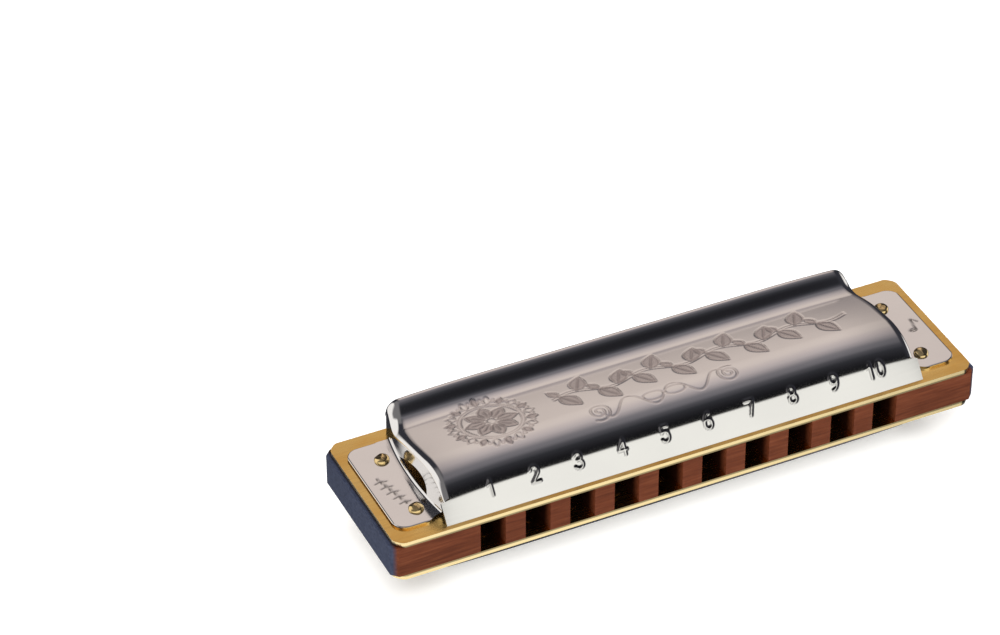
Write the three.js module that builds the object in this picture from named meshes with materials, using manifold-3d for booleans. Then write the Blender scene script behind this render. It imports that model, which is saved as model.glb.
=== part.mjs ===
// A ten-hole diatonic harmonica: a wooden comb between two brass reed plates, twenty riveted reeds,
// and two pressed-steel covers held down by brass nails.
// Millimetres, +Z up. X runs along the holes (hole 1 at -X) and the mouth side faces -Y.
// The origin is on the surface that the harmonica lies on, under the middle of the comb.

import * as THREE from 'three';
import { mergeVertices } from 'three/addons/utils/BufferGeometryUtils.js';
import Module from 'manifold-3d';

const wasm = await Module();
wasm.setup();

// ---------------------------------------------------------------- driving dimensions

const HOLES = 10;
const PITCH = 7.65;                 // hole to hole
const HOLE_WIDTH = 4.26;

const COMB_LENGTH = 102.6;
const COMB_DEPTH = 26.5;
const COMB_THICKNESS = 5.5;
const COMB_CHAMFER = 1.1;
const CHAMBER_BACK = { first: 9.0, last: 3.5 };   // y of the chambers' back walls, hole 1 to hole 10

const PLATE_LENGTH = 101.4;
const PLATE_THICKNESS = 0.9;
const PLATE_CHAMFER = 1.3;

const SHEET = 0.45;                 // cover sheet thickness
const COVER_HEIGHT = 6.2;           // crest above the reed plate
const COVER_FRONT = -12.45;         // y of the front strip's foot
const STRIP_SLOPE = 51;             // degrees
const SHOULDER_RADIUS = 4.3;
const SHOULDER_LAND = 0.6;          // flat along the shoulder's crest, which the cover rests on
const FACE_SLOPE = 10.3;            // fall of the main face towards the back, degrees
const FACE_RUN = 10.9;
const VALLEY_RADIUS = 2.6;
const RIDGE_RISE = 42;              // degrees
const RIDGE_LAND = 0.4;             // flat along the ridge's crest
const RIDGE_RADIUS = 1.5;
const LIP_SLOPE = 70;               // fall of the back lip, degrees
const LIP_RUN = 0.6;
const STRIP_END = 41.6;             // x of the front strip's ends
const WALL_FOOT = { middle: 42.3, back: 40.5 };   // x of an end wall, bowed outwards at its foot
const WALL_TOP = { middle: 41.1, back: 40.5 };    // and less at the crests' height
const WALL_CORNER_RADIUS = 2.2;
const WALL_FRONT = -10;             // y where an end wall stops short of the front strip
const WALL_BACK = 12.65;            // y of an end wall's back foot
const TAB_END = 49.2;               // x of a tab's outer edge
const TAB_Y = [-10.5, 10.2];
const TAB_CORNER_RADIUS = 2.2;
const VENT_Y = [-5.1, 5.1];
const VENT_PEAK = { y: -2.0, z: 3.2 };
const VENT_SHOULDER = { back: 3.5, front: { y: -4.7, z: 3.0 } };   // what pulls its curve outwards

const COVER_NAILS = { x: 44.5, y: [-7.0, 5.9] };
const PLATE_NAILS = { x: [-30, 0, 30], y: 11.2 };
const NAIL_RADIUS = 0.5;
const NAIL_DEPTH = 2.25;            // length of shank inside the comb
const NAIL_TIP = { length: 0.8, radius: 0.15 };
const COVER_NAIL_HEAD = { radius: 1.22, height: 0.85 };
const PLATE_NAIL_HEAD = { radius: 0.95, height: 0.4 };

const REED_THICKNESS = 0.28;
const REED_WIDTH = 2.1;
const PAD_WIDTH = 3.2;
const PAD_LENGTH = 3.1;
const PAD_CORNER = 0.4;
const PAD_TO_WALL = 0.4;            // from a blow reed's pad to its chamber's back wall
const REED_SPLIT = 0.1;             // gap between pad and tongue, with the bending line in its middle
const BLOW_TIP_Y = -10.4;           // y of the blow slots' front ends
const DRAW_ROOT_Y = -8.0;           // y of the draw reeds' bending lines
const SLOT_SIDE_GAP = 0.15;
const SLOT_END_GAP = 0.2;
const RIVET_RADIUS = 0.5;
const RIVET_HEAD = { radius: 0.85, height: 0.4, flat: 0.6 };   // flat: radius of its level top
const RIVET_TAIL = { radius: 0.75, height: 0.12 };

const HOLE_GAP = 0.05;              // radial clearance of nails and rivets in their holes
const ROUND_SIDES = 12;
const BEND_STEP = 8;                // degrees per facet in the covers' bends
const WALL_STATIONS = [-7, -4, -1, 2, 5, 8, 10, 12];   // y of the facets' edges in a bowed end wall
const CORNER_ANGLES = [0, 18, 36, 54, 72, 90];         // of the facets' edges in its top corner
const HEAD_ANGLES = [0, 25, 50, 75];                   // and in a nail's head
const PAST = 1;                     // how far a cut reaches past the material
const CLEAR = 14;                   // and how far one reaches that has to clear a whole cover

const plateFace = COMB_THICKNESS / 2 + PLATE_THICKNESS;
const totalHeight = 2 * (plateFace + COVER_HEIGHT);
const radians = THREE.MathUtils.degToRad;

// ---------------------------------------------------------------- materials

function metal(color, roughness) {
  return new THREE.MeshStandardMaterial({ color, roughness, metalness: 1 });
}

const finish = {
  wood: () => new THREE.MeshStandardMaterial({ color: 0x73412d, roughness: 0.5, metalness: 0 }),
  brassPlate: () => metal(0xc8963c, 0.35),
  brassReed: () => metal(0xd8b060, 0.3),
  brassNail: () => metal(0xd9b45a, 0.25),
  steel: () => metal(0xcdc8c6, 0.12),
};

// ---------------------------------------------------------------- solids

/** A closed three.js geometry as a manifold solid. */
function solid(geometry) {
  const bare = geometry.clone();
  bare.deleteAttribute('normal');
  bare.deleteAttribute('uv');
  const merged = mergeVertices(bare, 1e-5);
  return new wasm.Manifold(new wasm.Mesh({
    numProp: 3,
    vertProperties: merged.attributes.position.array,
    triVerts: Uint32Array.from(merged.index.array),
  }));
}

/** A manifold solid as a three.js geometry. */
function geometryOf(body) {
  const mesh = body.getMesh();
  const geometry = new THREE.BufferGeometry();
  geometry.setAttribute('position', new THREE.BufferAttribute(mesh.vertProperties, 3));
  geometry.setIndex(new THREE.BufferAttribute(mesh.triVerts, 1));
  geometry.computeVertexNormals();
  return geometry;
}

/** The geometry mirrored in the plane z = 0. */
function mirrored(geometry) {
  return geometryOf(solid(geometry).mirror([0, 0, 1]));
}

function box([x0, x1], [y0, y1], [z0, z1]) {
  const geometry = new THREE.BoxGeometry(x1 - x0, y1 - y0, z1 - z0);
  geometry.translate((x0 + x1) / 2, (y0 + y1) / 2, (z0 + z1) / 2);
  return solid(geometry);
}

/** An outline pushed along its third axis from `from` to `to`; `axes` are the outline's two axes
 *  and the push direction, in the model's frame. */
function prism(outline, from, to, axes) {
  const shape = outline instanceof THREE.Shape ? outline : new THREE.Shape(outline);
  const options = { depth: to - from, bevelEnabled: false, curveSegments: 10 };
  const geometry = new THREE.ExtrudeGeometry(shape, options);
  geometry.translate(0, 0, from);
  geometry.applyMatrix4(new THREE.Matrix4().makeBasis(...axes));
  return solid(geometry);
}

const X = new THREE.Vector3(1, 0, 0);
const Y = new THREE.Vector3(0, 1, 0);
const Z = new THREE.Vector3(0, 0, 1);

const prismX = (outlineYZ, x0, x1) => prism(outlineYZ, x0, x1, [Y, Z, X]);
const prismZ = (outlineXY, z0, z1) => prism(outlineXY, z0, z1, [X, Y, Z]);

/** A solid turned about +Z through (x, y) from a profile of [radius, z] points. */
function turned(profile, x = 0, y = 0) {
  const points = profile.map(([r, z]) => new THREE.Vector2(r, z));
  const geometry = new THREE.LatheGeometry(points, ROUND_SIDES);
  geometry.rotateX(Math.PI / 2);
  geometry.translate(x, y, 0);
  return solid(geometry);
}

function rod(radius, z0, z1, x = 0, y = 0) {
  return turned([[0, z0], [radius, z0], [radius, z1], [0, z1]], x, y);
}

/** A solid skinned over flat rings that have the same number of points, lowest ring first. */
function loft(rings) {
  const count = rings[0].length;
  const positions = rings.flat().flatMap((point) => point.toArray());
  const triangles = [];
  for (let ring = 0; ring < rings.length - 1; ring += 1) {
    for (let point = 0; point < count; point += 1) {
      const [a, b] = [ring * count + point, ring * count + (point + 1) % count];
      triangles.push(a, b, b + count, a, b + count, a + count);
    }
  }
  const last = (rings.length - 1) * count;
  for (const [a, b, c] of THREE.ShapeUtils.triangulateShape(rings[0], [])) {
    triangles.push(c, b, a, a + last, b + last, c + last);
  }
  const geometry = new THREE.BufferGeometry();
  geometry.setAttribute('position', new THREE.Float32BufferAttribute(positions, 3));
  geometry.setIndex(triangles);
  return solid(geometry);
}

/** A rectangle about the origin with its corners cut off at 45 degrees. */
function chamferedRectangle(length, depth, chamfer) {
  const [a, b] = [length / 2, depth / 2];
  const corners = [
    [a, -b + chamfer], [a, b - chamfer], [a - chamfer, b], [-a + chamfer, b],
    [-a, b - chamfer], [-a, -b + chamfer], [-a + chamfer, -b], [a - chamfer, -b],
  ];
  return corners.map(([x, y]) => new THREE.Vector2(x, y));
}

// ---------------------------------------------------------------- hole by hole

const holeNumbers = Array.from({ length: HOLES }, (_, index) => index + 1);

function holeX(hole) {
  return (hole - (HOLES + 1) / 2) * PITCH;
}

function chamberBack(hole) {
  return THREE.MathUtils.mapLinear(hole, 1, HOLES, CHAMBER_BACK.first, CHAMBER_BACK.last);
}

/** y of a blow reed's bending line, at the front of its pad. */
function blowRoot(hole) {
  return chamberBack(hole) - PAD_TO_WALL - PAD_LENGTH - REED_SPLIT / 2;
}

/** Length from bending line to slot end; both reeds of a hole are equally long. */
function slotLength(hole) {
  return blowRoot(hole) - BLOW_TIP_Y;
}

// ---------------------------------------------------------------- comb and reed plates

function coverNailPlaces() {
  return [-1, 1].flatMap((side) => COVER_NAILS.y.map((y) => [side * COVER_NAILS.x, y]));
}

function plateNailPlaces() {
  return PLATE_NAILS.x.map((x) => [x, PLATE_NAILS.y]);
}

function nailPlaces() {
  return [...coverNailPlaces(), ...plateNailPlaces()];
}

function comb() {
  const half = COMB_THICKNESS / 2;
  const outline = chamferedRectangle(COMB_LENGTH, COMB_DEPTH, COMB_CHAMFER);
  let body = prismZ(outline, -half, half);
  for (const hole of holeNumbers) {
    const x = holeX(hole);
    const width = [x - HOLE_WIDTH / 2, x + HOLE_WIDTH / 2];
    const depth = [-COMB_DEPTH / 2 - PAST, chamberBack(hole)];
    body = body.subtract(box(width, depth, [-half - PAST, half + PAST]));
  }
  for (const [x, y] of nailPlaces()) {
    const deep = half - NAIL_DEPTH - HOLE_GAP;
    const nailHole = rod(NAIL_RADIUS + HOLE_GAP, deep, half + PAST, x, y);
    body = body.subtract(nailHole).subtract(nailHole.mirror([0, 0, 1]));
  }
  return geometryOf(body);
}

/** A reed plate lying on z = 0, cut for reeds whose bending lines are at `rootY(hole)` and whose
 *  tongues point along `direction` in y. */
function reedPlate(rootY, direction) {
  const outline = chamferedRectangle(PLATE_LENGTH, COMB_DEPTH, PLATE_CHAMFER);
  const through = [-PAST, PLATE_THICKNESS + PAST];
  let body = prismZ(outline, 0, PLATE_THICKNESS);
  for (const hole of holeNumbers) {
    const x = holeX(hole);
    const halfWidth = REED_WIDTH / 2 + SLOT_SIDE_GAP;
    const ends = [rootY(hole), rootY(hole) + direction * slotLength(hole)].sort((a, b) => a - b);
    const rivetY = rootY(hole) - direction * (PAD_LENGTH + REED_SPLIT) / 2;
    body = body.subtract(box([x - halfWidth, x + halfWidth], ends, through));
    body = body.subtract(rod(RIVET_RADIUS + HOLE_GAP, ...through, x, rivetY));
  }
  for (const [x, y] of nailPlaces()) {
    body = body.subtract(rod(NAIL_RADIUS + HOLE_GAP, ...through, x, y));
  }
  return geometryOf(body);
}

// ---------------------------------------------------------------- reeds
// A reed's own frame: the bending line runs along X through the origin, the plate's face is the
// plane z = 0 above it, the tongue points along +Y and the riveted pad lies behind, along -Y.

function tongue(length) {
  const span = [REED_SPLIT / 2, length - SLOT_END_GAP];
  const halfWidth = REED_WIDTH / 2;
  return geometryOf(box([-halfWidth, halfWidth], span, [-REED_THICKNESS, 0]));
}

function rivetedPad() {
  const middle = -(PAD_LENGTH + REED_SPLIT) / 2;
  const pad = prismZ(chamferedRectangle(PAD_WIDTH, PAD_LENGTH, PAD_CORNER), -REED_THICKNESS, 0);
  const rivet = turned([
    [0, -REED_THICKNESS - RIVET_HEAD.height],
    [RIVET_HEAD.flat, -REED_THICKNESS - RIVET_HEAD.height],
    [RIVET_HEAD.radius, -REED_THICKNESS - RIVET_HEAD.height / 2],
    [RIVET_HEAD.radius, -REED_THICKNESS / 2],
    [RIVET_RADIUS, -REED_THICKNESS / 2],
    [RIVET_RADIUS, PLATE_THICKNESS],
    [RIVET_TAIL.radius, PLATE_THICKNESS],
    [RIVET_TAIL.radius, PLATE_THICKNESS + RIVET_TAIL.height],
    [0, PLATE_THICKNESS + RIVET_TAIL.height],
  ]);
  return geometryOf(pad.add(rivet).translate([0, middle, 0]));
}

// ---------------------------------------------------------------- covers

/** Points along a bent sheet's face: straight runs and bends from `start`, heading in degrees.
 *  `inset` moves the whole face to its right-hand side, which is the inside of the cover. */
function bentPath(start, firstHeading, steps, inset) {
  let heading = radians(firstHeading);
  let [y, z] = [start[0] + inset * Math.sin(heading), start[1] - inset * Math.cos(heading)];
  const points = [new THREE.Vector2(y, z)];
  const advance = (distance) => {
    y += distance * Math.cos(heading);
    z += distance * Math.sin(heading);
    points.push(new THREE.Vector2(y, z));
  };
  for (const { run, bend, radius } of steps) {
    if (run) {
      advance(run);
      continue;
    }
    const count = Math.ceil(Math.abs(bend) / BEND_STEP);
    const turn = radians(bend) / count;
    const chord = 2 * (radius + Math.sign(bend) * inset) * Math.sin(Math.abs(turn) / 2);
    for (let step = 0; step < count; step += 1) {
      heading += turn / 2;
      advance(chord);
      heading += turn / 2;
    }
  }
  return points;
}

/** The face of the cover's section in (y, z), from the front strip's foot to the back lip's end.
 *  The straight runs on both sides of the main face bring the shoulder's and the ridge's crests to
 *  the same height. */
function coverFace(inset) {
  const [strip, face, rise] = [STRIP_SLOPE, FACE_SLOPE, RIDGE_RISE].map(radians);
  const shoulderRise = SHOULDER_RADIUS * (1 - Math.cos(strip));
  const faceFall = SHOULDER_RADIUS * (1 - Math.cos(face)) + FACE_RUN * Math.sin(face);
  const valleyRise = VALLEY_RADIUS * (Math.cos(face) - Math.cos(rise));
  const ridgeRise = RIDGE_RADIUS * (1 - Math.cos(rise));
  const steps = [
    { run: (COVER_HEIGHT - shoulderRise) / Math.sin(strip) },
    { bend: -STRIP_SLOPE, radius: SHOULDER_RADIUS },
    { run: SHOULDER_LAND },
    { bend: -FACE_SLOPE, radius: SHOULDER_RADIUS },
    { run: FACE_RUN },
    { bend: FACE_SLOPE + RIDGE_RISE, radius: VALLEY_RADIUS },
    { run: (faceFall - valleyRise - ridgeRise) / Math.sin(rise) },
    { bend: -RIDGE_RISE, radius: RIDGE_RADIUS },
    { run: RIDGE_LAND },
    { bend: -LIP_SLOPE, radius: RIDGE_RADIUS },
    { run: LIP_RUN },
  ];
  return bentPath([COVER_FRONT, 0], STRIP_SLOPE, steps, inset);
}

/** x of the cover's end face at (y, z): a wall bowed in plan, and the straight cut of the strip. */
function endX(y, z) {
  if (y < WALL_FRONT) {
    return STRIP_END;
  }
  const bow = (y / WALL_BACK) ** 2;
  const foot = THREE.MathUtils.lerp(WALL_FOOT.middle, WALL_FOOT.back, bow);
  const top = THREE.MathUtils.lerp(WALL_TOP.middle, WALL_TOP.back, bow);
  return THREE.MathUtils.lerp(foot, top, z / COVER_HEIGHT);
}

/** How far the rounded top corner of an end takes the end face inwards, `below` under the top. */
function cornerInset(below, radius) {
  const rise = Math.max(radius - below, 0);
  return radius - Math.sqrt(radius ** 2 - rise ** 2);
}

/** The block between the cover's two end faces, taken in by `inset` on the sides and the top. */
function endBlock(inset, bottom) {
  const top = COVER_HEIGHT - inset;
  const radius = WALL_CORNER_RADIUS - inset;
  const ys = [-CLEAR, WALL_FRONT - 0.01, WALL_FRONT, ...WALL_STATIONS, CLEAR];
  const cornerSteps = CORNER_ANGLES.map((angle) => Math.sin(radians(angle)));
  const heights = [bottom, ...cornerSteps.map((rise) => top - radius + radius * rise)];
  const rings = heights.map((z) => {
    const reach = (y) => endX(y, z) - inset - cornerInset(top - z, radius);
    const right = ys.map((y) => new THREE.Vector3(reach(y), y, z));
    const left = [...ys].reverse().map((y) => new THREE.Vector3(-reach(y), y, z));
    return [...right, ...left];
  });
  return loft(rings);
}

function tabOutline(side) {
  const [front, back] = TAB_Y;
  const inner = WALL_FOOT.back;
  const r = TAB_CORNER_RADIUS;
  const shape = new THREE.Shape();
  shape.moveTo(inner, back);
  shape.lineTo(inner, front);
  shape.absarc(TAB_END - r, front + r, r, -Math.PI / 2, 0, false);
  shape.absarc(TAB_END - r, back - r, r, 0, Math.PI / 2, false);
  const points = shape.getPoints(6);
  return side > 0 ? points : points.map(({ x, y }) => new THREE.Vector2(-x, y)).reverse();
}

/** The half-moon opening in an end wall, standing on the tab. */
function ventOutline() {
  const [front, back] = VENT_Y;
  const shape = new THREE.Shape();
  shape.moveTo(front, SHEET);
  shape.lineTo(back, SHEET);
  const middle = (back + VENT_PEAK.y) / 2;
  shape.quadraticCurveTo(middle, VENT_SHOULDER.back, VENT_PEAK.y, VENT_PEAK.z);
  shape.quadraticCurveTo(VENT_SHOULDER.front.y, VENT_SHOULDER.front.z, front, SHEET);
  return shape;
}

function cover() {
  const reach = COMB_LENGTH / 2;
  const outer = coverFace(0);
  const inner = coverFace(SHEET);
  const lipEnd = outer.at(-1);

  const back = new THREE.Vector2(WALL_BACK, 0);
  const envelope = prismX([...outer, back], -reach, reach);
  const hollowOutline = [
    ...inner,
    lipEnd,
    new THREE.Vector2(CLEAR, lipEnd.y),
    new THREE.Vector2(CLEAR, -PAST),
    new THREE.Vector2(inner[0].x, -PAST),
  ];
  const hollow = prismX(hollowOutline, -reach, reach);

  const room = hollow.intersect(endBlock(SHEET, -2 * PAST));
  const frontPart = box([-reach, reach], [-CLEAR, WALL_FRONT], [-CLEAR, CLEAR]);
  const cornerGap = frontPart.intersect(hollow);

  let body = envelope.intersect(endBlock(0, -PAST)).subtract(room).subtract(cornerGap);
  for (const side of [-1, 1]) {
    body = body.add(prismZ(tabOutline(side), 0, SHEET).subtract(room));
    const wall = [side * (WALL_TOP.back - 2 * PAST), side * (WALL_FOOT.middle + PAST)];
    body = body.subtract(prismX(ventOutline(), Math.min(...wall), Math.max(...wall)));
  }
  for (const [x, y] of coverNailPlaces()) {
    body = body.subtract(rod(NAIL_RADIUS + HOLE_GAP, -PAST, SHEET + PAST, x, y));
  }
  return geometryOf(body);
}

// ---------------------------------------------------------------- nails

/** A nail whose head sits on z = 0, with `length` of shank below it. */
function nail(head, length) {
  const arc = HEAD_ANGLES.map((degrees) => {
    const angle = radians(degrees);
    return [head.radius * Math.cos(angle), head.height * Math.sin(angle)];
  });
  const profile = [
    [0, -length],
    [NAIL_TIP.radius, -length],
    [NAIL_RADIUS, -length + NAIL_TIP.length],
    [NAIL_RADIUS, 0],
    ...arc,
    [0, head.height],
  ];
  return geometryOf(turned(profile));
}

// ---------------------------------------------------------------- assembly
// Everything is built about the comb's middle plane. The lower cover and the lower nails are the
// upper ones mirrored in that plane. Every reed lies under its plate: the blow reeds in the comb's
// chambers, the draw reeds outside them and pointing the other way.

const harmonica = new THREE.Group();
const body = new THREE.Group();
body.position.z = totalHeight / 2;
harmonica.add(body);

function place(name, geometry, material, [x, y, z], group = body) {
  const mesh = new THREE.Mesh(geometry, material);
  mesh.name = name;
  mesh.position.set(x, y, z);
  group.add(mesh);
  return mesh;
}

place('comb', comb(), finish.wood(), [0, 0, 0]);
place('blow_reed_plate', reedPlate(blowRoot, -1), finish.brassPlate(), [0, 0, COMB_THICKNESS / 2]);
place('draw_reed_plate', reedPlate(() => DRAW_ROOT_Y, 1), finish.brassPlate(), [0, 0, -plateFace]);

place('upper_cover', cover(), finish.steel(), [0, 0, plateFace]);
place('lower_cover', mirrored(cover()), finish.steel(), [0, 0, -plateFace]);

for (const hole of holeNumbers) {
  const length = slotLength(hole);
  const blow = new THREE.Group();
  blow.position.set(holeX(hole), blowRoot(hole), COMB_THICKNESS / 2);
  blow.rotation.z = Math.PI;
  const draw = new THREE.Group();
  draw.position.set(holeX(hole), DRAW_ROOT_Y, -plateFace);
  body.add(blow, draw);
  for (const [kind, group] of [['blow', blow], ['draw', draw]]) {
    place(`${kind}_reed_${hole}`, tongue(length), finish.brassReed(), [0, 0, 0], group);
    place(`${kind}_reed_foot_${hole}`, rivetedPad(), finish.brassReed(), [0, 0, 0], group);
  }
}

for (const [word, up] of [['upper', 1], ['lower', -1]]) {
  const facing = (geometry) => (up > 0 ? geometry : mirrored(geometry));
  const coverNail = facing(nail(COVER_NAIL_HEAD, SHEET + PLATE_THICKNESS + NAIL_DEPTH));
  coverNailPlaces().forEach(([x, y], index) => {
    const name = `${word}_cover_nail_${index + 1}`;
    place(name, coverNail, finish.brassNail(), [x, y, up * (plateFace + SHEET)]);
  });
  const plateNail = facing(nail(PLATE_NAIL_HEAD, PLATE_THICKNESS + NAIL_DEPTH));
  plateNailPlaces().forEach(([x, y], index) => {
    place(`${word}_plate_nail_${index + 1}`, plateNail, finish.brassNail(), [x, y, up * plateFace]);
  });
}

export default harmonica;
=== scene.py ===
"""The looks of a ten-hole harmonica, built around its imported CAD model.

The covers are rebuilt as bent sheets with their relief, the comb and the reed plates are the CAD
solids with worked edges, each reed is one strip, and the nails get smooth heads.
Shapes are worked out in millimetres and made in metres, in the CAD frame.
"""

import math

import bmesh
import bpy
import numpy as np
from mathutils import Matrix, Vector

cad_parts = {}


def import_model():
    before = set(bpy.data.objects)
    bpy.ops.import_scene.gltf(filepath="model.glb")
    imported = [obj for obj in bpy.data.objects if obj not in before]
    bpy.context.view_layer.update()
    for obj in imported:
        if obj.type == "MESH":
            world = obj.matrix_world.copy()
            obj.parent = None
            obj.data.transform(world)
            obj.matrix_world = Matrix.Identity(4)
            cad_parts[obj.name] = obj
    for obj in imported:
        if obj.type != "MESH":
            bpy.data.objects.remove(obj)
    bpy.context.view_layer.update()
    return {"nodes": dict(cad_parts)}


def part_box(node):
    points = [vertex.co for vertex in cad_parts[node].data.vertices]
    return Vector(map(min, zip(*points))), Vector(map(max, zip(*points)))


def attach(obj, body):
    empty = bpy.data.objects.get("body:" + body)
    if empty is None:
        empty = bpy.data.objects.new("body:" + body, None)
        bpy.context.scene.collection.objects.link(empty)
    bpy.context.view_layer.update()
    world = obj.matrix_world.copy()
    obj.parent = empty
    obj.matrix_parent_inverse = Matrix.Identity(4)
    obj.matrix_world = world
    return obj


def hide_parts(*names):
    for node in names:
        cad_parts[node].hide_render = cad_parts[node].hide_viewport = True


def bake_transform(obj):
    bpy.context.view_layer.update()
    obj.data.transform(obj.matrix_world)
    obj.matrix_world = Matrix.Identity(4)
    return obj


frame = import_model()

MM = 0.001
HOLES = 10


def box_mm(node):
    """A CAD node's lowest and highest corners, in millimetres."""
    low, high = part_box(node)
    return np.array(low) / MM, np.array(high) / MM


# ---------------------------------------------------------------- sizes, in millimetres

SHEET = 0.45                        # cover sheet thickness
COVER_LOW, COVER_HIGH = box_mm("upper_cover")
COVER_HEIGHT = COVER_HIGH[2] - COVER_LOW[2]
STRIP_HEADING = 54.0                # degrees above level at the number strip's foot
STRIP_RUN = 3.8
STRIP_BOW = (8.0, 8.0)              # degrees and radius of the bend above the strip
SHOULDER_LAND = 0.3
FACE_START = 9.5                    # fall of the main face behind the shoulder, degrees
FACE_CROWN = 3.0                    # and how much more it falls at the valley
FACE_RADIUS = 9.0
VALLEY_RADIUS = 3.4
RIDGE_RISE = 42.0
RIDGE_CROWN = (16.0, 4.5)           # degrees and radius of the wide bend before its crest
RIDGE_RADIUS = 0.6
RIDGE_LAND = 0.1
LIP_SLOPE = 70.0
LIP_RUN = 0.6

MIDDLE = (COVER_HIGH[2] + box_mm("lower_cover")[0][2]) / 2
COMB_HALF = (box_mm("comb")[1][2] - box_mm("comb")[0][2]) / 2
COMB_SHADE_SPAN = (0.22, 0.38)                 # painted shade at the comb, fading out over this much plate

STRIP_END = 41.75
STRIP_NOTCH = 0.07                  # share of its height that the strip loses at its ends
DROOP = 0.5                         # how far the sheet sinks towards its ends
DROOP_START = 26.0
WALL_FOOT = (42.3, 40.8)            # x of an end wall's foot in the middle and at the back
WALL_TOP = (41.1, 40.6)             # and at the crests' height
WALL_FRONT = -10.0
WALL_FOOT_Y = (-9.6, 12.65)
CORNER_RADIUS = (1.0, 2.0)          # between top and end wall, at the shoulder and at the ridge
FOOT_RADIUS = 0.45
TAB_END = COVER_HIGH[0]
TAB_Y = (-10.5, 10.2)
TAB_CORNER = 2.2
EDGE_RADIUS = 0.2                   # rounding along a tab's cut edge
TAB_EDGE_START = 0.15               # share of a tab, from its fillet, that has no cut edge
TAB_EDGE_DROP = 0.8                 # share of the full rounding that a tab's edge sinks
VENT_Y = (-5.1, 5.1)
VENT_HEIGHT = 2.3
VENT_PEAK = 0.28                    # share of the vent's length in front of its highest point
VENT_FLARE = 0.1                    # how far the vent's edge leans out
VENT_LINTEL = 0.3                   # the least sheet left between vent and corner
BACK_WALL_FOOT = 0.05               # z of the wall's lower edge behind the tab
CORNER_BLEND = (2.0, 11.0)          # y over which the corner grows from its first radius
CORNER_LIMIT = 0.45                 # largest share of the height that the corner takes
WALL_SHEAR = 1.2                    # how early on its way down the wall reaches the foot's y

FINE = 0.2                          # mesh steps that hold the relief
RELIEF_END = 36.6                   # x up to which the fine columns run
COARSE = 1.6
COARSE_ROWS = 0.5                   # step along the face on the lower cover
TAB_STEP = 0.25                     # the least step that a tab's columns are counted from
TAB_START = 43.2                    # x outside which a point can only be on a tab
RIDGE_SPAN = 5.2                    # end of the face, where the rows lie twice as close
COLUMNS = {"side": 8, "corner": 9, "wall": 10, "foot": 5}   # steps of a cover's end

GROOVE_STROKE = 0.24                # half the width of an engraved line
GROOVE_DEPTH = 0.07
MATTE_DEPTH = 0.02
DIGIT_HEIGHT = 0.1
TAB_STROKE = 0.23                   # half the width of a mark stamped in a tab
TAB_MARK_DEPTH = 0.05
MERGE = 0.002                       # distance at which the cover's points are joined


# ---------------------------------------------------------------- meshes


def new_piece(name, vertices, faces, material):
    """A mesh object from points in millimetres."""
    mesh = bpy.data.meshes.new(name)
    mesh.from_pydata((np.asarray(vertices) * MM).tolist(), [], faces)
    mesh.materials.append(material)
    piece = bpy.data.objects.new(name, mesh)
    bpy.context.scene.collection.objects.link(piece)
    return piece


def apply_modifiers(piece):
    """Makes what the modifiers do part of the piece's own mesh."""
    depsgraph = bpy.context.evaluated_depsgraph_get()
    mesh = bpy.data.meshes.new_from_object(piece.evaluated_get(depsgraph))
    piece.modifiers.clear()
    piece.data = mesh
    mesh.name = piece.name


def shade(piece, sharp_degrees):
    """Smooth shading that breaks at edges sharper than the given angle."""
    piece.data.shade_smooth()
    piece.data.set_sharp_from_angle(angle=math.radians(sharp_degrees))


# ---------------------------------------------------------------- relief on the upper cover
# Strokes are lines of (x, y) points in millimetres.


def arc(centre, radii, start, end, count=14):
    angles = np.radians(np.linspace(start, end, count))
    return np.column_stack([
        centre[0] + radii[0] * np.cos(angles),
        centre[1] + radii[1] * np.sin(angles),
    ])


def line(*points):
    return np.array(points, float)


def turned(points, degrees):
    c, s = math.cos(math.radians(degrees)), math.sin(math.radians(degrees))
    return np.asarray(points) @ np.array([[c, s], [-s, c]])


def leaf(root, length, width, degrees, count=9):
    """The closed outline of a pointed leaf."""
    t = np.linspace(0, 1, count)
    half = width / 2 * np.sin(np.pi * t ** 0.85)
    upper = np.column_stack([t * length, half])
    lower = np.column_stack([t * length, -half])[::-1]
    return turned(np.vstack([upper, lower[1:]]), degrees) + np.asarray(root)


DIGITS = {
    1: [line((0.22, 0.7), (0.42, 0.78), (0.58, 1.0), (0.58, 0.0))],
    2: [arc((0.5, 0.71), (0.42, 0.29), 170, -35), line((0.83, 0.52), (0.08, 0.0), (0.95, 0.0))],
    3: [arc((0.45, 0.76), (0.38, 0.24), 155, -90), arc((0.45, 0.26), (0.44, 0.26), 90, -155)],
    4: [line((0.72, 0.0), (0.72, 1.0), (0.05, 0.3), (0.98, 0.3))],
    5: [line((0.88, 1.0), (0.24, 1.0), (0.17, 0.56)), arc((0.46, 0.33), (0.42, 0.33), 135, -150)],
    6: [arc((0.78, 0.36), (0.68, 0.64), 95, 180), arc((0.5, 0.3), (0.4, 0.3), 0, 360, 20)],
    7: [line((0.05, 1.0), (0.95, 1.0), (0.42, 0.0))],
    8: [arc((0.5, 0.75), (0.33, 0.25), 0, 360, 18), arc((0.5, 0.26), (0.42, 0.26), 0, 360, 20)],
    9: [arc((0.5, 0.7), (0.4, 0.3), 0, 360, 20), arc((0.22, 0.64), (0.68, 0.64), 0, -85)],
    0: [arc((0.5, 0.5), (0.4, 0.5), 0, 360, 24)],
}
DIGIT_SIZE = (1.55, 2.5)
DIGIT_STROKE = 0.38                 # half the width of a digit's line with its flanks
DIGIT_PITCH = 7.49
DIGIT_MIDDLE = 0.3                  # x between digits 5 and 6
DIGIT_PATH = 3.75                   # from the strip's foot to the digits' middle, along the sheet
DIGIT_SPACING = 1.15                # between the two figures of 10, in widths


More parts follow.
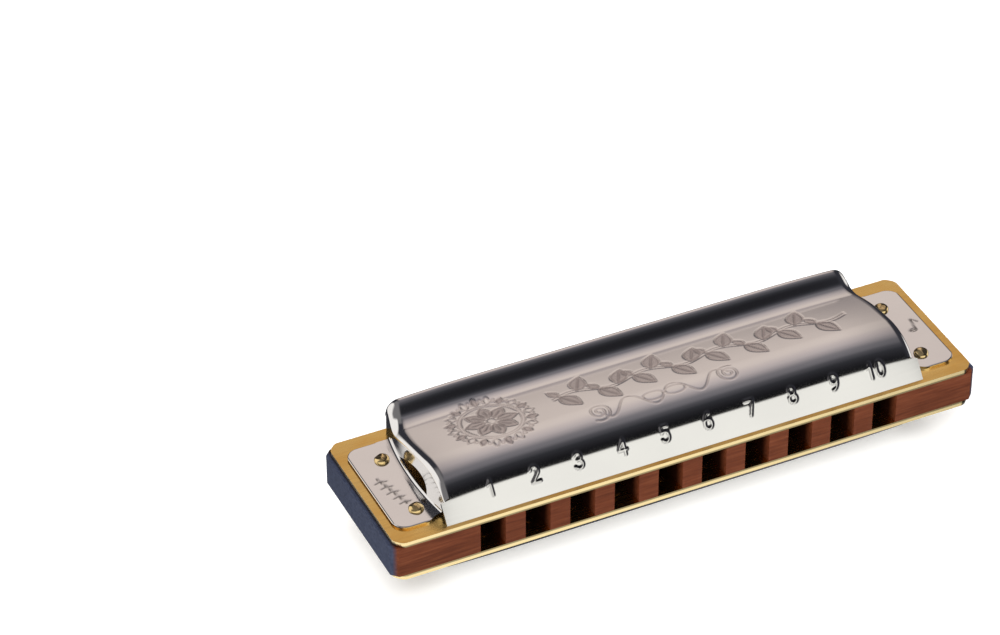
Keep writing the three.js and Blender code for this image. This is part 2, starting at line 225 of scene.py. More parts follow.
def digit_strokes():
    """The numbers 1 to 10 over the holes, in x and distance along the sheet."""
    strokes = []
    for number in range(1, HOLES + 1):
        middle = DIGIT_MIDDLE + (number - (HOLES + 1) / 2) * DIGIT_PITCH
        figures = [int(c) for c in str(number)]
        for place, figure in enumerate(figures):
            shift = (place - (len(figures) - 1) / 2) * DIGIT_SPACING
            for stroke in DIGITS[figure]:
                offset = (stroke - 0.5) * DIGIT_SIZE
                strokes.append(offset + (middle + shift * DIGIT_SIZE[0], DIGIT_PATH))
    return strokes


ROSETTE = {"centre": (-27.6, 1.9), "radius": 7.3}
VINE = {"start": -16.5, "end": 35.4, "y": 2.2, "swing": 0.9, "waves": 4}
SCROLL = {"middle": (-0.6, -4.3), "reach": 13.6}


def rosette():
    """A round ornament: petals inside two rings, with scallops and beads around them."""
    centre = np.array(ROSETTE["centre"])
    radius = ROSETTE["radius"]
    strokes = [arc(centre, (radius * k, radius * k), 0, 360, 64) for k in (0.66, 0.72)]
    strokes.append(arc(centre, (0.8, 0.8), 0, 360, 20))
    fills = []
    for index in range(8):
        degrees = index * 45
        root = centre + turned([[1.0, 0.0]], degrees)[0]
        petal = leaf(root, radius * 0.48, 2.2, degrees)
        strokes.append(petal)
        fills.append(petal)
        strokes.append(turned([[1.6, 0.0], [3.2, 0.0]], degrees) + centre)
    for index in range(20):
        degrees = index * 18
        root = centre + turned([[radius * 0.76, 0.0]], degrees)[0]
        petal = leaf(root, radius * 0.24, 1.15, degrees, 7)
        strokes.append(petal)
        if index % 2:
            fills.append(petal)
        bead = centre + turned([[radius * 0.9, 0.0]], degrees + 9)[0]
        strokes.append(arc(bead, (0.28, 0.28), 0, 360, 9))
    return strokes, fills


def vine():
    """A running vine of big hatched leaves, with a stem that swings from side to side."""
    start, end, level = VINE["start"], VINE["end"], VINE["y"]
    wave = (end - start) / VINE["waves"]

    def stem_y(x):
        return level + VINE["swing"] * np.sin(2 * np.pi * (x - start) / wave)

    x = np.linspace(start, end, 150)
    strokes = [np.column_stack([x, stem_y(x)]), np.column_stack([x, stem_y(x) + 0.55])]
    fills = []
    for index in range(4 * VINE["waves"] - 1):
        root_x = start + (index + 0.35) * wave / 4
        side = 1 if index % 2 else -1
        root = (root_x, stem_y(root_x) + 0.27)
        big = leaf(root, 4.5, 2.7, side * 62)
        strokes.append(big)
        fills.append(big)
        strokes.append(np.array([root, turned([[3.7, 0.0]], side * 62)[0] + root]))
        if index % 2 == 0:
            small = leaf(root, 2.5, 1.3, -side * 118)
            strokes.append(small)
            fills.append(small)
    return strokes, fills


def scroll():
    """A flourish of two spirals joined by a wave, with a loop in the middle."""
    middle, reach = np.array(SCROLL["middle"]), SCROLL["reach"]
    turns = np.linspace(0, 1, 46)
    strokes = []
    for side in (-1, 1):
        angle = 2.1 * 2 * np.pi * turns
        radius = 0.25 + 1.75 * turns
        spiral = np.column_stack([
            side * (reach - 2.2 + radius * np.sin(angle)),
            side * radius * np.cos(angle),
        ])
        strokes.append(spiral + middle)
        x = np.linspace(0.0, reach - 2.2, 40)
        wave = np.column_stack([side * x, side * 1.7 * np.sin(3.5 * np.pi * x / reach)])
        strokes.append(wave + middle)
        strokes.append(arc(middle + (side * 1.9, 0.0), (1.8, 0.95), 0, 360, 26))
    return strokes


def segment_gap(a, b, x, y):
    """Distance of the points (x, y) from the straight line between a and b."""
    d = b - a
    along = ((x - a[0]) * d[0] + (y - a[1]) * d[1]) / max(d @ d, 1e-9)
    along = np.clip(along, 0, 1)
    return np.hypot(x - a[0] - along * d[0], y - a[1] - along * d[1])


def flank(gap, half_width):
    """1 on a stroke's middle and 0 at its edge, with rounded flanks between."""
    return 0.5 + 0.5 * np.cos(np.pi * gap / half_width)


def stroke_depth(strokes, xs, ys, half_width):
    """How deep in a stroke each point of the grid ys by xs lies, from 0 to 1 on its middle."""
    near = np.full((len(ys), len(xs)), half_width)
    for stroke in strokes:
        for a, b in zip(stroke[:-1], stroke[1:]):
            low = np.minimum(a, b) - half_width
            high = np.maximum(a, b) + half_width
            columns = slice(*np.searchsorted(xs, [low[0], high[0]]))
            rows = slice(*np.searchsorted(ys, [low[1], high[1]]))
            gap = segment_gap(a, b, *np.meshgrid(xs[columns], ys[rows]))
            near[rows, columns] = np.minimum(near[rows, columns], gap)
    return flank(near, half_width)


def filled(outlines, xs, ys):
    """1 inside any of the closed outlines and 0 outside, on the grid ys by xs."""
    inside = np.zeros((len(ys), len(xs)))
    for outline in outlines:
        columns = slice(*np.searchsorted(xs, [outline[:, 0].min(), outline[:, 0].max()]))
        rows = slice(*np.searchsorted(ys, [outline[:, 1].min(), outline[:, 1].max()]))
        px, py = np.meshgrid(xs[columns], ys[rows])
        odd = np.zeros(px.shape, bool)
        for a, b in zip(outline, np.roll(outline, -1, axis=0)):
            if a[1] == b[1]:
                continue
            crosses = (a[1] > py) != (b[1] > py)
            odd ^= crosses & (px < a[0] + (py - a[1]) * (b[0] - a[0]) / (b[1] - a[1]))
        inside[rows, columns] = np.maximum(inside[rows, columns], odd)
    return inside


# ---------------------------------------------------------------- covers


class Section:
    """The cover's face in (y, z): runs and bends that follow each other from `start`."""

    def __init__(self, start, heading, steps):
        self.parts = []
        s, (y, z), h = 0.0, start, math.radians(heading)
        for kind, amount, *radius in steps:
            if kind == "run":
                length, curve = amount, 0.0
            else:
                length = math.radians(abs(amount)) * radius[0]
                curve = math.copysign(1 / radius[0], amount)
            self.parts.append((s, y, z, h, curve))
            y, z, h = self.walk(length, y, z, h, curve)
            s += length
        self.length = s
        self.end = (y, z)

    @staticmethod
    def walk(t, y, z, h, curve):
        if curve == 0.0:
            return y + t * math.cos(h), z + t * math.sin(h), h
        turned_h = h + curve * t
        return (
            y + (math.sin(turned_h) - math.sin(h)) / curve,
            z + (math.cos(h) - math.cos(turned_h)) / curve,
            turned_h,
        )

    def at(self, s):
        """(y, z, heading) at a distance along the face."""
        part = [p for p in self.parts if p[0] <= s + 1e-9][-1]
        return self.walk(s - part[0], *part[1:])


def cover_section(face_run):
    bow, bow_radius = STRIP_BOW
    strip = [("run", STRIP_RUN), ("bend", -bow, bow_radius)]
    low_part = Section((COVER_LOW[1], 0.0), STRIP_HEADING, strip)
    rest = math.radians(STRIP_HEADING - bow)
    shoulder = (COVER_HEIGHT - low_part.end[1]) / (1 - math.cos(rest))
    front = strip + [
        ("bend", -math.degrees(rest), shoulder),
        ("run", SHOULDER_LAND),
        ("bend", -FACE_START, FACE_RADIUS),
        ("bend", -FACE_CROWN, face_run / math.radians(FACE_CROWN)),
        ("bend", FACE_START + FACE_CROWN + RIDGE_RISE, VALLEY_RADIUS),
    ]
    valley = Section((COVER_LOW[1], 0.0), STRIP_HEADING, front)
    crown, crown_radius = RIDGE_CROWN
    rise, last = math.radians(RIDGE_RISE), math.radians(RIDGE_RISE - crown)
    ridge = RIDGE_RADIUS * (1 - math.cos(last))
    ridge += crown_radius * (math.cos(last) - math.cos(rise))
    steps = front + [
        ("run", (COVER_HEIGHT - ridge - valley.end[1]) / math.sin(rise)),
        ("bend", -crown, crown_radius),
        ("bend", crown - RIDGE_RISE, RIDGE_RADIUS),
        ("run", RIDGE_LAND),
        ("bend", -LIP_SLOPE, RIDGE_RADIUS),
        ("run", LIP_RUN),
    ]
    return Section((COVER_LOW[1], 0.0), STRIP_HEADING, steps)


def fitted_section():
    """The section whose back lip ends where the CAD cover ends."""
    short, long = 9.0, 12.0
    y_short, y_long = cover_section(short).end[0], cover_section(long).end[0]
    share = (COVER_HIGH[1] - y_short) / (y_long - y_short)
    return cover_section(short + share * (long - short))


def lerp(a, b, t):
    return a + (b - a) * t


def smooth(t):
    t = np.clip(t, 0.0, 1.0)
    return t * t * (3 - 2 * t)


def droop(x, z):
    """How far the sheet sinks at x; it fades out towards the strip's foot."""
    along = max((abs(x) - DROOP_START) / (STRIP_END - DROOP_START), 0.0)
    return DROOP * along ** 2 * min(z / COVER_HEIGHT, 1.0)


def vent_height(y):
    """Height of the half-moon opening above the tab at y; it is steep in front."""
    u = (y - VENT_Y[0]) / (VENT_Y[1] - VENT_Y[0])
    if not 0 < u < 1:
        return 0.0
    return VENT_HEIGHT * (u / VENT_PEAK) ** 0.45 * ((1 - u) / (1 - VENT_PEAK)) ** 1.05


def end_columns(section, s, step):
    """One row of the cover's right end, from the fine columns outwards: three lists of (x, y, z),
    for the sheet up to the corner, for the corner with the wall, and for the foot's fillet with
    the tab. In front of the wall the second is the strip's end, and off the tab the third is
    empty."""
    tab_columns = int(round(7 / step))
    y, z, _ = section.at(s)
    bow = min((y / WALL_FOOT_Y[1]) ** 2, 1.0)
    foot_x = lerp(*WALL_FOOT, bow)
    lean = (foot_x - lerp(*WALL_TOP, bow)) / COVER_HEIGHT
    phi = math.atan(lean)
    stretch = math.hypot(1, lean)
    blend = (y - CORNER_BLEND[0]) / (CORNER_BLEND[1] - CORNER_BLEND[0])
    radius = min(lerp(*CORNER_RADIUS, float(smooth(blend))), CORNER_LIMIT * z)
    crest = z - droop(foot_x - radius, z)
    centre = (foot_x - lean * (crest - radius) - radius * stretch, crest - radius)
    side_end = centre[0]
    side = []
    for t in np.linspace(0, 1, COLUMNS["side"] + 1)[1:]:
        x = lerp(RELIEF_END, side_end, t)
        side.append((x, y, z - droop(x, z)))
    if y < WALL_FRONT:
        strip = []
        for t in np.linspace(0, 1, COLUMNS["corner"] + 1)[1:]:
            low_y, low_z, _ = section.at(s * (1 - STRIP_NOTCH * t))
            x = lerp(side_end, STRIP_END, t)
            strip.append((x, low_y, low_z - droop(x, low_z)))
        return side, strip, []

    foot_y = lerp(*WALL_FOOT_Y, (y - WALL_FRONT) / (COVER_HIGH[1] - WALL_FRONT))
    angles = np.linspace(math.pi / 2, phi, COLUMNS["corner"] + 1)[1:]
    corner = [
        (centre[0] + radius * math.cos(a), y, centre[1] + radius * math.sin(a)) for a in angles
    ]
    on_tab = foot_y <= TAB_Y[1]
    fillet = (
        foot_x - lean * (SHEET + FOOT_RADIUS) + FOOT_RADIUS * stretch,
        SHEET + FOOT_RADIUS,
    )
    wall_top = corner[-1][2]
    foot_z = fillet[1] - FOOT_RADIUS * math.sin(phi)
    wall_end = foot_z + vent_height(foot_y) if on_tab else BACK_WALL_FOOT
    wall_end = min(wall_end, wall_top - VENT_LINTEL)
    flare = VENT_FLARE * vent_height(foot_y) / VENT_HEIGHT
    wall = []
    for t in np.linspace(0, 1, COLUMNS["wall"] + 1)[1:]:
        wall_z = lerp(wall_top, wall_end, t)
        down = (COVER_HEIGHT - wall_z) / COVER_HEIGHT
        wall_y = lerp(y, foot_y, min(down * WALL_SHEAR, 1.0))
        wall.append((foot_x - lean * wall_z + flare * t ** 3, wall_y, wall_z))
    if not on_tab:
        return side, corner + wall, []

    foot = [
        (fillet[0] + FOOT_RADIUS * math.cos(a), foot_y, fillet[1] + FOOT_RADIUS * math.sin(a))
        for a in np.linspace(math.pi + phi, 1.5 * math.pi, COLUMNS["foot"] + 1)
    ]
    tab = []
    row = (foot_y - WALL_FOOT_Y[0]) / (TAB_Y[1] - WALL_FOOT_Y[0])
    for t in np.linspace(0, 1, tab_columns + 1)[1:]:
        x = lerp(fillet[0], TAB_END, math.sin(t * math.pi / 2) ** 0.9)
        into = max(x - (TAB_END - TAB_CORNER), 0.0)
        corner_cut = TAB_CORNER - math.sqrt(max(TAB_CORNER ** 2 - into ** 2, 0.0))
        full_y = lerp(TAB_Y[0] + corner_cut, TAB_Y[1] - corner_cut, row)
        tab_y = lerp(foot_y, full_y, float(smooth(t * 6)))
        to_edge = min(
            TAB_END - x,
            tab_y - TAB_Y[0] - corner_cut,
            TAB_Y[1] - corner_cut - tab_y,
        )
        drop = max(EDGE_RADIUS - to_edge, 0.0) if t > TAB_EDGE_START else 0.0
        drop = EDGE_RADIUS - math.sqrt(max(EDGE_RADIUS ** 2 - drop ** 2, 0.0))
        tab.append((x, tab_y, SHEET - TAB_EDGE_DROP * drop))
    return side, corner + wall, foot + tab


def tab_strokes():
    """Small stamped marks: a sprig on the left tab and a music note on the right one."""
    stem = line((-47.2, 2.0), (-45.2, -5.3))
    sprig = [stem]
    for t in (0.12, 0.32, 0.52, 0.72, 0.92):
        root = lerp(stem[0], stem[1], t)
        sprig += [np.array([root, root + turned([[1.0, 0.0]], a)[0]]) for a in (-15, -165)]
    head = arc((46.6, -1.1), (0.55, 0.4), 0, 360, 12)
    note = [
        head,
        line((46.15, -1.1), (47.05, -1.1)),
        line((47.1, -1.1), (47.5, 1.6), (48.3, 0.6)),
    ]
    return sprig + note


def cover_rows(section, step):
    """Distances along the face: even, and closer on the ridge's tight bends."""
    even = np.arange(0, section.length - RIDGE_SPAN, step)
    close = np.arange(even[-1] + step, section.length, step / 2)[:-1]
    return np.concatenate([even, close, [section.length]])


def cover(name, step, with_relief, up, polished, inside):
    """A cover as one bent sheet. `up` is 1 for the upper cover and -1 for the lower one."""
    section = fitted_section()
    row_step = FINE if with_relief else COARSE_ROWS
    rows = cover_rows(section, row_step)
    xs = np.linspace(-RELIEF_END, RELIEF_END, int(round(2 * RELIEF_END / step)) + 1)
    path = np.array([section.at(s) for s in rows])

    height = np.zeros((len(rows), len(xs)))
    etched = np.zeros_like(height)
    print_and_painted_shade = np.zeros_like(height)
    if with_relief:
        rosette_strokes, rosette_fills = rosette()
        vine_strokes, vine_fills = vine()
        engraved = rosette_strokes + vine_strokes + scroll()
        groove = stroke_depth(engraved, xs, path[:, 0], GROOVE_STROKE)
        matte = filled(rosette_fills + vine_fills, xs, path[:, 0])
        height += -GROOVE_DEPTH * groove - MATTE_DEPTH * matte
        etched = np.clip(0.7 * matte + 0.6 * groove, 0, 1)
        raised = stroke_depth(digit_strokes(), xs, rows, DIGIT_STROKE)
        height += DIGIT_HEIGHT * raised
        # painted shade: a dark outline on the flanks of the raised digits
        print_and_painted_shade = 2.4 * raised * (1 - raised)

    vertices, marks, print_and_shade_values, index = [], [], [], {}

    def add(row, column, point, mark=0.0, print_and_shade=0.0):
        index[row, column] = len(vertices)
        vertices.append(point)
        marks.append(mark)
        print_and_shade_values.append(print_and_shade)

    half = (len(xs) - 1) // 2
    sheet_end = half + COLUMNS["side"]
    ends = []
    for i, (y, z, h) in enumerate(path):
        for j, x in enumerate(xs):
            rise = height[i, j]
            point = (x, y - rise * math.sin(h), z - droop(x, z) + rise * math.cos(h))
            add(i, j - half, point, etched[i, j], print_and_painted_shade[i, j])
        sheet, wall, tab = end_columns(section, rows[i], max(row_step, TAB_STEP))
        wall_end = sheet_end + len(wall)
        ends.append((wall_end, wall_end + len(tab)))
        for side in (1, -1):
            for column, (x, py, pz) in enumerate(sheet + wall + tab, half + 1):
                add(i, side * column, (side * x, py, pz))

    faces = []

    def cell(i, a, b):
        faces.append((index[i, a], index[i, b], index[i + 1, b], index[i + 1, a]))

    for i, ((wall_end, last), (next_wall_end, next_last)) in enumerate(zip(ends, ends[1:])):
        for c in range(-half, half):
            cell(i, c, c + 1)
        columns = list(range(half, wall_end if wall_end == next_wall_end else sheet_end))
        if last > wall_end and next_last > next_wall_end:
            columns += range(wall_end + 1, last)
        for c in columns:
            cell(i, c, c + 1)
        for c in columns:
            cell(i, -c - 1, -c)

    points = np.array(vertices)
    marks, print_and_shade_values = np.array(marks), np.array(print_and_shade_values)
    if with_relief:
        where = np.nonzero(np.abs(points[:, 0]) > TAB_START)[0]
        near = np.full(len(where), TAB_STROKE)
        for stroke in tab_strokes():
            for a, b in zip(stroke[:-1], stroke[1:]):
                near = np.minimum(near, segment_gap(a, b, *points[where, :2].T))
        depth = flank(near, TAB_STROKE)
        points[where, 2] -= TAB_MARK_DEPTH * depth
        # print: the stamped tab marks are filled dark
        print_and_shade_values[where] = 0.9 * depth

    base = COVER_LOW[2] if up > 0 else box_mm("lower_cover")[1][2]
    points[:, 2] = base + up * points[:, 2]
    if up < 0:
        faces = [tuple(reversed(f)) for f in faces]
    piece = new_piece(name, points, faces, polished)
    piece.data.materials.append(inside)
    for word, values in (("etched", marks), ("print_and_painted_shade", print_and_shade_values)):
        attribute = piece.data.attributes.new(word, "FLOAT", "POINT")
        attribute.data.foreach_set("value", values.astype(np.float32))
    loose = bmesh.new()
    loose.from_mesh(piece.data)
    bmesh.ops.delete(loose, geom=[v for v in loose.verts if not v.link_faces], context="VERTS")
    bmesh.ops.remove_doubles(loose, verts=loose.verts, dist=MERGE * MM)
    loose.to_mesh(piece.data)
    loose.free()

    solidify = piece.modifiers.new("sheet", "SOLIDIFY")
    solidify.thickness = SHEET * MM
    solidify.offset = -1
    solidify.material_offset = 1
    apply_modifiers(piece)
    shade(piece, 50)
    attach(piece, "root")
    return piece


# ---------------------------------------------------------------- materials


class Nodes:
    """A short way to write the node tree of a material or of the world."""

    def __init__(self, owner):
        owner.use_nodes = True
        self.owner = owner
        self.tree = owner.node_tree

    def add(self, kind, inputs=None, **settings):
        node = self.tree.nodes.new(kind)
        for key, value in settings.items():
            setattr(node, key, value)
        for key, value in (inputs or {}).items():
            self.put(node.inputs[key], value)
        return node

    def put(self, socket, value):
        if isinstance(value, bpy.types.NodeSocket):
            self.tree.links.new(value, socket)
        else:
            socket.default_value = value

    def set(self, **values):
        """Inputs of a material's shader, by name."""
        for key, value in values.items():
            self.put(self.tree.nodes["Principled BSDF"].inputs[key.replace("_", " ")], value)

    def split(self, kind):
        """X, Y and Z of one of the texture coordinates."""
        coordinates = self.add("ShaderNodeTexCoord").outputs[kind]
        outputs = self.add("ShaderNodeSeparateXYZ", {"Vector": coordinates}).outputs
        return [outputs[axis] for axis in "XYZ"]

    def noise(self, scale, detail, roughness=0.5):
        """Noise whose scale along each axis is in periods per metre."""
        coordinates = self.add("ShaderNodeTexCoord").outputs["Object"]
        mapping = self.add("ShaderNodeMapping", {"Vector": coordinates, "Scale": scale})
        node = self.add("ShaderNodeTexNoise", {"Vector": mapping.outputs["Vector"]})
        node.inputs["Scale"].default_value = 1.0
        node.inputs["Detail"].default_value = detail
        node.inputs["Roughness"].default_value = roughness
        return node.outputs["Fac"]

    def ramp(self, factor, stops):
        node = self.add("ShaderNodeValToRGB", {"Fac": factor})
        elements = node.color_ramp.elements
        while len(elements) < len(stops):
            elements.new(0.5)
        for element, (position, color) in zip(elements, stops):
            element.position = position
            element.color = (*color, 1.0)
        return node.outputs["Color"]

    def scaled(self, value, low, high, from_low=0.0, from_high=1.0):
        """The value taken from one range to another and held at its ends."""
        node = self.add("ShaderNodeMapRange", {"Value": value})
        node.inputs["From Min"].default_value = from_low
        node.inputs["From Max"].default_value = from_high
        node.inputs["To Min"].default_value = low
        node.inputs["To Max"].default_value = high
        return node.outputs["Result"]

    def rising(self, value, span):
        return self.scaled(value, 0.0, 1.0, *span)

    def falling(self, value, span):
        return self.scaled(value, 1.0, 0.0, *span)

    def mix(self, factor, a, b, kind="MIX"):
        node = self.add("ShaderNodeMix", data_type="RGBA", blend_type=kind)
        self.put(node.inputs["Factor"], factor)
        self.put(node.inputs["A"], a)
        self.put(node.inputs["B"], b)
        return node.outputs["Result"]

    def math(self, operation, a, b=0.0):
        node = self.add("ShaderNodeMath", operation=operation)
        self.put(node.inputs[0], a)
        self.put(node.inputs[1], b)
        return node.outputs["Value"]

    def bump(self, height, distance, strength):
        node = self.add("ShaderNodeBump", {"Height": height})
        node.inputs["Distance"].default_value = distance
        node.inputs["Strength"].default_value = strength
        return node.outputs["Normal"]


def cover_steel():
    """Polished steel with faint wipe marks; what is etched is duller and darker. The stamped tab
    marks are printed dark, and the raised digits' flanks get a painted dark outline as painted
    shade.
    """
    m = Nodes(bpy.data.materials.new("cover_steel"))
    etched = m.add("ShaderNodeAttribute", attribute_name="etched").outputs["Fac"]
    haze = m.noise((60, 90, 90), 3)
    wipes = m.noise((90, 2600, 2600), 3, 0.6)
    clean_color = m.ramp(haze, [(0.3, (0.80, 0.785, 0.78)), (0.7, (0.86, 0.845, 0.835))])
    color = m.mix(etched, clean_color, (0.60, 0.54, 0.53, 1))
    # painted dark outline on the digits' flanks, and the printed tab marks
    print_and_painted_shade = m.add("ShaderNodeAttribute", attribute_name="print_and_painted_shade").outputs["Fac"]
    color = m.mix(print_and_painted_shade, color, (0.06, 0.055, 0.055, 1))
    wear = m.math("ADD", haze, m.math("MULTIPLY", wipes, 0.6))
    polished = m.scaled(wear, 0.075, 0.125, 0.4, 1.1)
    m.set(
        Base_Color=color,
        Metallic=1.0,
        Roughness=m.math("ADD", polished, m.math("MULTIPLY", etched, 0.25)),
        Normal=m.bump(wipes, 0.000004, 0.35),
    )
    return m.owner


def unpolished_steel():
    """The covers' inside, grey from the press."""
    m = Nodes(bpy.data.materials.new("unpolished_steel"))
    scale = m.noise((350, 350, 350), 5, 0.6)
    m.set(
        Base_Color=m.ramp(scale, [(0.3, (0.16, 0.15, 0.15)), (0.7, (0.26, 0.25, 0.245))]),
        Metallic=1.0,
        Roughness=m.scaled(scale, 0.35, 0.55),
        Normal=m.bump(scale, 0.00002, 0.4),
    )
    return m.owner


def brass(name, dark, light, roughness, grain, edge):
    """Brass with rolling marks and a little tarnish. Faces that stand upright get a painted
    highlight in the edge's color, with painted shade where they meet the comb."""
    m = Nodes(bpy.data.materials.new(name))
    tarnish = m.noise((110, 160, 160), 5, 0.6)
    rolled = m.noise(grain, 3, 0.65)
    color = m.ramp(tarnish, [(0.32, dark), (0.68, light)])
    side_face = m.falling(m.math("ABSOLUTE", m.split("Normal")[2]), (0.2, 0.9))
    height = m.split("Object")[2]
    from_middle = m.math("ABSOLUTE", m.math("SUBTRACT", height, MIDDLE * MM))
    # painted shade where the upright faces meet the comb
    comb_painted_shade = m.falling(from_middle, [(COMB_HALF + reach) * MM for reach in COMB_SHADE_SPAN])
    # painted highlight color for the upright faces, turning to painted shade towards the comb
    edge_painted_highlight = m.mix(comb_painted_shade, (*edge, 1), (*(0.35 * c for c in edge), 1))
    color = m.mix(side_face, color, edge_painted_highlight)
    rough = m.scaled(m.math("ADD", rolled, tarnish), roughness - 0.06, roughness + 0.1, 0.6, 1.4)
    m.set(Base_Color=color, Metallic=1.0, Roughness=rough, Normal=m.bump(rolled, 0.00001, 0.5))
    return m.owner


def comb_wood():
    """Red-brown stained wood with its grain along X. The sawn ends are darker end grain with a
    painted slate-blue shade and reflection on it, and painted shade makes the wood behind the
    front face much darker."""
    m = Nodes(bpy.data.materials.new("comb_wood"))
    grain = m.noise((130, 2200, 2200), 6, 0.62)
    broad = m.noise((18, 260, 260), 3, 0.5)
    pores = m.noise((500, 7000, 7000), 2, 0.5)
    body = m.ramp(grain, [
        (0.28, (0.070, 0.017, 0.007)),
        (0.5, (0.115, 0.030, 0.0125)),
        (0.75, (0.165, 0.050, 0.022)),
    ])
    tint = m.ramp(broad, [(0.35, (0.86, 0.84, 0.82)), (0.65, (1.1, 1.08, 1.05))])
    varied = m.mix(1.0, body, tint, "MULTIPLY")
    x, y, _ = m.split("Object")
    half_length, front = box_mm("comb")[1][0] * MM, box_mm("comb")[0][1] * MM
    from_end = m.math("SUBTRACT", half_length, m.math("ABSOLUTE", x))
    end_face = m.falling(from_end, (0.3 * MM, 0.9 * MM))
    # darker end grain with a painted slate-blue shade and reflection on it
    end_grain_painted_shade = m.ramp(m.noise((2500, 1500, 2500), 4, 0.6), [
        (0.3, (0.024, 0.030, 0.056)),
        (0.7, (0.046, 0.056, 0.094)),
    ])
    into_chamber = m.math("SUBTRACT", y, front)
    # painted shade: the wood darkens with depth behind the front face, into the chambers
    chamber_painted_shade = m.scaled(into_chamber, 1.0, 0.12, 0.3 * MM, 2.2 * MM)
    color = m.mix(end_face, m.mix(1.0, varied, chamber_painted_shade, "MULTIPLY"), end_grain_painted_shade)
    m.set(
        Base_Color=color,
        Roughness=m.scaled(grain, 0.38, 0.6),
        Normal=m.bump(m.math("ADD", grain, m.math("MULTIPLY", pores, 0.5)), 0.00004, 0.5),
        Specular_IOR_Level=0.07,
    )
    return m.owner


# ---------------------------------------------------------------- comb and reed plates


def worked_copy(name, node, material, edge, corner=0.0):
    """The CAD solid with its edges worked: a small bevel all over, and a larger one on the
    outline's upright corners."""
    mesh = frame["nodes"][node].data.copy()
    piece = bpy.data.objects.new(name, mesh)
    bpy.context.scene.collection.objects.link(piece)
    mesh.materials.clear()
    mesh.materials.append(material)
    shape = bmesh.new()
    shape.from_mesh(mesh)
    bmesh.ops.remove_doubles(shape, verts=shape.verts, dist=0.001 * MM)
    bmesh.ops.dissolve_limit(
        shape, angle_limit=math.radians(1), verts=shape.verts, edges=shape.edges
    )
    if corner:
        low, high = (np.array(c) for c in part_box(node))
        near_end = 2.5 * MM
        upright = [
            e for e in shape.edges
            if abs((e.verts[0].co - e.verts[1].co).normalized().z) > 0.99
            and min(e.verts[0].co.x - low[0], high[0] - e.verts[0].co.x) < near_end
        ]
        bmesh.ops.bevel(
            shape, geom=upright, offset=corner * MM, segments=5, profile=0.5, affect="EDGES",
            clamp_overlap=True,
        )
    shape.to_mesh(mesh)
    shape.free()
    bevel = piece.modifiers.new("edges", "BEVEL")
    bevel.width = edge * MM
    bevel.segments = 3
    bevel.limit_method = "ANGLE"
    bevel.angle_limit = math.radians(40)
    apply_modifiers(piece)
    shade(piece, 12)
    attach(piece, "root")
    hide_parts(node)
    return piece


# ---------------------------------------------------------------- reeds


REED_THICKNESS = 0.28
PAD_ROUNDING = (0.4, 0.5)           # how much narrower a pad starts, and over what length
NECK_START = 0.78                   # share of the pad's length where it narrows to the tongue
TIP_TAPER = 0.1                     # shares of its width and thickness that the tongue loses
THINNING = 0.45
REED_EDGE = 0.035                   # rounding of a reed's long edges
RIVET_PROFILE = [(0.0, 0.36), (0.3, 0.34), (0.6, 0.24), (0.78, 0.08), (0.8, 0.0)]
RIVET_SHANK = 0.5
RIVET_TAIL = (0.72, 0.66)           # radii of the filed-down tail, on the plate and at its top
TAIL_SHARE = 0.3                    # share of the CAD tail's height that filing left


def reed(kind, number, material):
    """One reed strip with its rivet, running from its pad to its tip."""
    tongue_node = f"{kind}_reed_{number}"
    foot_node = f"{kind}_reed_foot_{number}"
    low, high = box_mm(tongue_node)
    foot_low, foot_high = box_mm(foot_node)
    plate = box_mm(f"{kind}_reed_plate")
    face = plate[0][2]
    x = (low[0] + high[0]) / 2
    points_back = kind == "draw"
    root, tip = (low[1], high[1]) if points_back else (high[1], low[1])
    pad_end = foot_low[1] if points_back else foot_high[1]
    direction = 1 if points_back else -1
    pad_half = (foot_high[0] - foot_low[0]) / 2
    half = (high[0] - low[0]) / 2

    outline = []
    pad_length = abs(root - pad_end)
    for t in np.linspace(0, 1, 9):
        narrower, over = PAD_ROUNDING
        rounded = pad_half - narrower * max(0.0, 1 - t * pad_length / over) ** 2
        neck = float(smooth((t - NECK_START) / (1 - NECK_START)))
        y = pad_end + direction * t * pad_length
        outline.append((y, lerp(rounded, half, neck), REED_THICKNESS))
    length = abs(tip - root)
    for t in np.linspace(0, 1, 26)[1:]:
        taper = half * (1 - TIP_TAPER * t)
        thick = REED_THICKNESS * (1 - THINNING * math.sin(math.pi * min(t * 1.1, 1.0)) ** 0.7)
        outline.append((root + direction * t * length, taper, thick))

    vertices, faces = [], []
    across = [(-1.0, REED_EDGE), (-0.96, 0.0), (0.0, 0.0), (0.96, 0.0), (1.0, REED_EDGE)]
    for y, width, thick in outline:
        for a, drop in across:
            vertices.append((x + a * width, y, face - drop))
        for a, drop in reversed(across):
            vertices.append((x + a * width, y, face - thick + drop))
    ring = 2 * len(across)
    for i in range(len(outline) - 1):
        for j in range(ring):
            a, b = i * ring + j, i * ring + (j + 1) % ring
            quad = (a, b, b + ring, a + ring)
            faces.append(quad if points_back else tuple(reversed(quad)))
    first = tuple(range(ring))
    last = tuple(range((len(outline) - 1) * ring, len(outline) * ring))
    faces.append(tuple(reversed(first)) if points_back else first)
    faces.append(last if points_back else tuple(reversed(last)))

    strip = new_piece(f"{kind}_reed_strip_{number}", vertices, faces, material)
    shade(strip, 30)
    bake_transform(strip)
    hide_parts(tongue_node, foot_node)

    rivet_y = (pad_end + root) / 2
    under = face - REED_THICKNESS
    head = [(r, under - h) for r, h in RIVET_PROFILE]
    top = plate[1][2]
    tail = top + TAIL_SHARE * (foot_high[2] - top)
    shank = [(RIVET_SHANK, under), (RIVET_SHANK, top)]
    end = [(RIVET_TAIL[0], top), (RIVET_TAIL[1], tail), (0.0, tail)]
    name = f"{kind}_reed_rivet_{number}"
    rivet = lathe(name, head + shank + end, (x, rivet_y), material, 20)
    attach(rivet, "root")


